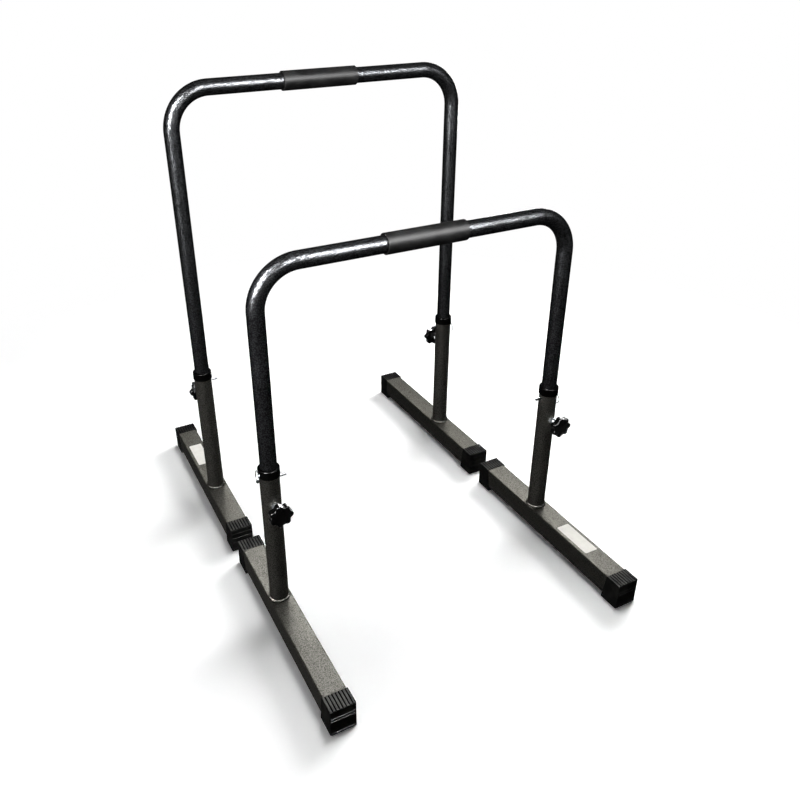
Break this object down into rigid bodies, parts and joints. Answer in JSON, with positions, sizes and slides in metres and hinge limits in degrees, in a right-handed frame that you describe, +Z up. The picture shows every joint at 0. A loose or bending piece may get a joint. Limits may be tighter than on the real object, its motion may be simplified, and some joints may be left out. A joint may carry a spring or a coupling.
{
  "type": "dip station",
  "caption": "Pair of free-standing dip frames: hooped bars with grip sleeves, telescoping in posts on capped square feet, with lock pins and clamping knobs.",
  "frame": {"origin": "on the floor, midway between the two frames", "axes": "+X along the bars, +Y from the front frame to the rear frame, +Z up"},
  "size_m": [0.733, 1.0752, 1.0449],
  "materials": {
    "hammered_paint": "grey hammertone paint",
    "grip_rubber": "satin black",
    "moulded_plastic": "gloss black",
    "knob_plastic": "satin black",
    "cap_plastic": "satin black",
    "weld_metal": "painted weld",
    "zinc_plate": "bright zinc",
    "bright_steel": "bright",
    "label_vinyl": "bare white label"
  },
  "bodies": {
    "front_base": {"front_left_post": "hammered_paint", "front_left_weld_bead": "weld_metal", "front_left_collar": "moulded_plastic", "front_left_foot": "hammered_paint", "front_left_outer_cap": "cap_plastic", "front_left_inner_cap": "cap_plastic", "front_left_weld_nut": "zinc_plate", "front_right_post": "hammered_paint", "front_right_weld_bead": "weld_metal", "front_right_collar": "moulded_plastic", "front_right_foot": "hammered_paint", "front_right_outer_cap": "cap_plastic", "front_right_inner_cap": "cap_plastic", "front_right_weld_nut": "zinc_plate"},
    "front_handle": {"front_upper_frame": "hammered_paint", "front_grip_sleeve": "grip_rubber", "front_left_glide": "moulded_plastic", "front_right_glide": "moulded_plastic"},
    "rear_base": {"rear_left_post": "hammered_paint", "rear_left_weld_bead": "weld_metal", "rear_left_collar": "moulded_plastic", "rear_left_foot": "hammered_paint", "rear_left_outer_cap": "cap_plastic", "rear_left_inner_cap": "cap_plastic", "rear_left_weld_nut": "zinc_plate", "rear_right_post": "hammered_paint", "rear_right_weld_bead": "weld_metal", "rear_right_collar": "moulded_plastic", "rear_right_foot": "hammered_paint", "rear_right_outer_cap": "cap_plastic", "rear_right_inner_cap": "cap_plastic", "rear_right_weld_nut": "zinc_plate"},
    "rear_handle": {"rear_upper_frame": "hammered_paint", "rear_grip_sleeve": "grip_rubber", "rear_left_glide": "moulded_plastic", "rear_right_glide": "moulded_plastic"},
    "front_left_pin": {"front_left_lock_pin": "bright_steel"},
    "front_left_ring": {"front_left_pull_ring": "bright_steel"},
    "front_left_screw": {"front_left_stud": "zinc_plate"},
    "front_left_knob": {"front_left_knob": "knob_plastic"},
    "front_right_pin": {"front_right_lock_pin": "bright_steel"},
    "front_right_ring": {"front_right_pull_ring": "bright_steel"},
    "front_right_screw": {"front_right_stud": "zinc_plate"},
    "front_right_knob": {"front_right_knob": "knob_plastic"},
    "rear_left_pin": {"rear_left_lock_pin": "bright_steel"},
    "rear_left_ring": {"rear_left_pull_ring": "bright_steel"},
    "rear_left_screw": {"rear_left_stud": "zinc_plate"},
    "rear_left_knob": {"rear_left_knob": "knob_plastic"},
    "rear_right_pin": {"rear_right_lock_pin": "bright_steel"},
    "rear_right_ring": {"rear_right_pull_ring": "bright_steel"},
    "rear_right_screw": {"rear_right_stud": "zinc_plate"},
    "rear_right_knob": {"rear_right_knob": "knob_plastic"}
  },
  "joints": [
    {"name": "rear_frame_position", "type": "slide", "parent": "front_base", "child": "rear_base", "axis": [0, 1, 0], "range_m": [0, 0.3]},
    {"name": "front_bar_height", "type": "slide", "parent": "front_base", "child": "front_handle", "axis": [0, 0, 1], "range_m": [0, 0.231]},
    {"name": "rear_bar_height", "type": "slide", "parent": "rear_base", "child": "rear_handle", "axis": [0, 0, 1], "range_m": [-0.231, 0]},
    {"name": "front_left_pin_pull", "type": "slide", "parent": "front_base", "child": "front_left_pin", "axis": [-1, 0, 0], "range_m": [0, 0.053]},
    {"name": "front_left_ring_swing", "type": "hinge", "parent": "front_left_pin", "child": "front_left_ring", "pos_m": [-0.36, -0.222, 0.363], "axis": [0, 1, 0], "range_deg": [-188, 0]},
    {"name": "front_left_screw_travel", "type": "slide", "parent": "front_base", "child": "front_left_screw", "axis": [0, -1, 0], "range_m": [0, 0.0025]},
    {"name": "front_left_knob_turn", "type": "hinge", "parent": "front_left_screw", "child": "front_left_knob", "pos_m": [-0.336, -0.222, 0.31], "axis": [0, -1, 0], "range_deg": [0, 720]},
    {"name": "front_right_pin_pull", "type": "slide", "parent": "front_base", "child": "front_right_pin", "axis": [1, 0, 0], "range_m": [0, 0.053]},
    {"name": "front_right_ring_swing", "type": "hinge", "parent": "front_right_pin", "child": "front_right_ring", "pos_m": [0.363, -0.222, 0.363], "axis": [0, -1, 0], "range_deg": [-6, 182]},
    {"name": "front_right_screw_travel", "type": "slide", "parent": "front_base", "child": "front_right_screw", "axis": [0, -1, 0], "range_m": [0, 0.0025]},
    {"name": "front_right_knob_turn", "type": "hinge", "parent": "front_right_screw", "child": "front_right_knob", "pos_m": [0.339, -0.222, 0.31], "axis": [0, -1, 0], "range_deg": [0, 720]},
    {"name": "rear_left_pin_pull", "type": "slide", "parent": "rear_base", "child": "rear_left_pin", "axis": [-1, 0, 0], "range_m": [0, 0.053]},
    {"name": "rear_left_ring_swing", "type": "hinge", "parent": "rear_left_pin", "child": "rear_left_ring", "pos_m": [-0.363, 0.222, 0.363], "axis": [0, 1, 0], "range_deg": [-6, 182]},
    {"name": "rear_left_screw_travel", "type": "slide", "parent": "rear_base", "child": "rear_left_screw", "axis": [0, 1, 0], "range_m": [0, 0.0025]},
    {"name": "rear_left_knob_turn", "type": "hinge", "parent": "rear_left_screw", "child": "rear_left_knob", "pos_m": [-0.339, 0.222, 0.31], "axis": [0, 1, 0], "range_deg": [0, 720]},
    {"name": "rear_right_pin_pull", "type": "slide", "parent": "rear_base", "child": "rear_right_pin", "axis": [1, 0, 0], "range_m": [0, 0.053]},
    {"name": "rear_right_ring_swing", "type": "hinge", "parent": "rear_right_pin", "child": "rear_right_ring", "pos_m": [0.36, 0.222, 0.363], "axis": [0, -1, 0], "range_deg": [-6, 182]},
    {"name": "rear_right_screw_travel", "type": "slide", "parent": "rear_base", "child": "rear_right_screw", "axis": [0, 1, 0], "range_m": [0, 0.0025]},
    {"name": "rear_right_knob_turn", "type": "hinge", "parent": "rear_right_screw", "child": "rear_right_knob", "pos_m": [0.336, 0.222, 0.31], "axis": [0, 1, 0], "range_deg": [0, 720]}
  ],
  "couplings": [
    {"joint": "front_left_screw_travel", "follows": "front_left_knob_turn", "m_per_rad": 0.00019894},
    {"joint": "front_right_screw_travel", "follows": "front_right_knob_turn", "m_per_rad": 0.00019894},
    {"joint": "rear_left_screw_travel", "follows": "rear_left_knob_turn", "m_per_rad": 0.00019894},
    {"joint": "rear_right_screw_travel", "follows": "rear_right_knob_turn", "m_per_rad": 0.00019894}
  ]
}
